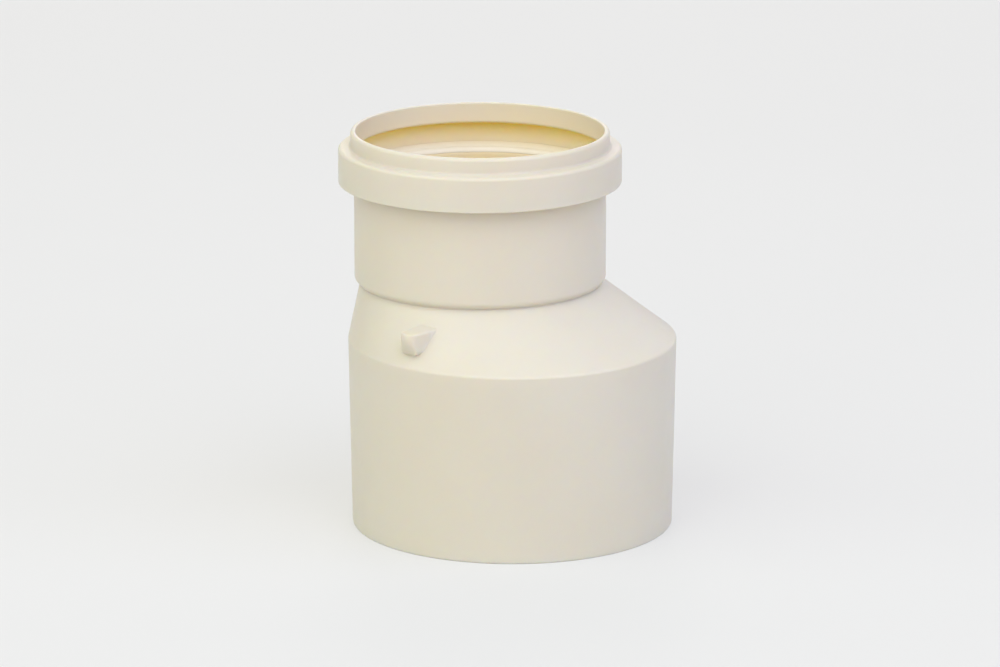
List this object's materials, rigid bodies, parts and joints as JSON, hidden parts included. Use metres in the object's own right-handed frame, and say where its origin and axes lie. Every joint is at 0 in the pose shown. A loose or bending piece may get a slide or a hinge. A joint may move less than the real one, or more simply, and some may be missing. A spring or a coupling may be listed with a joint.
{
  "type": "eccentric reducer",
  "caption": "Push-fit drain pipe reducer: a plain spigot below, an oblique cone, and a smaller offset socket above with a grooved collar, a thin lip and a sealing ring.",
  "frame": {"origin": "centre of the overall box at its bottom, on the plane of the spigot's end; the spigot's axis stands 3.1 mm from it towards +X and the socket's axis 10.2 mm from it towards -X", "axes": "+Z along both pipe axes, from the spigot's end to the socket's rim; -X is the side where the two bores run flush, and -Y is the side of the gate stub"},
  "size_m": [0.1098, 0.1038, 0.125],
  "materials": {
    "body": "ivory rigid PVC with a smooth semi-gloss moulded skin",
    "ring": "pale satin elastomer"
  },
  "bodies": {
    "root": {"reducer_body": "body", "sealing_ring": "ring"}
  },
  "joints": []
}
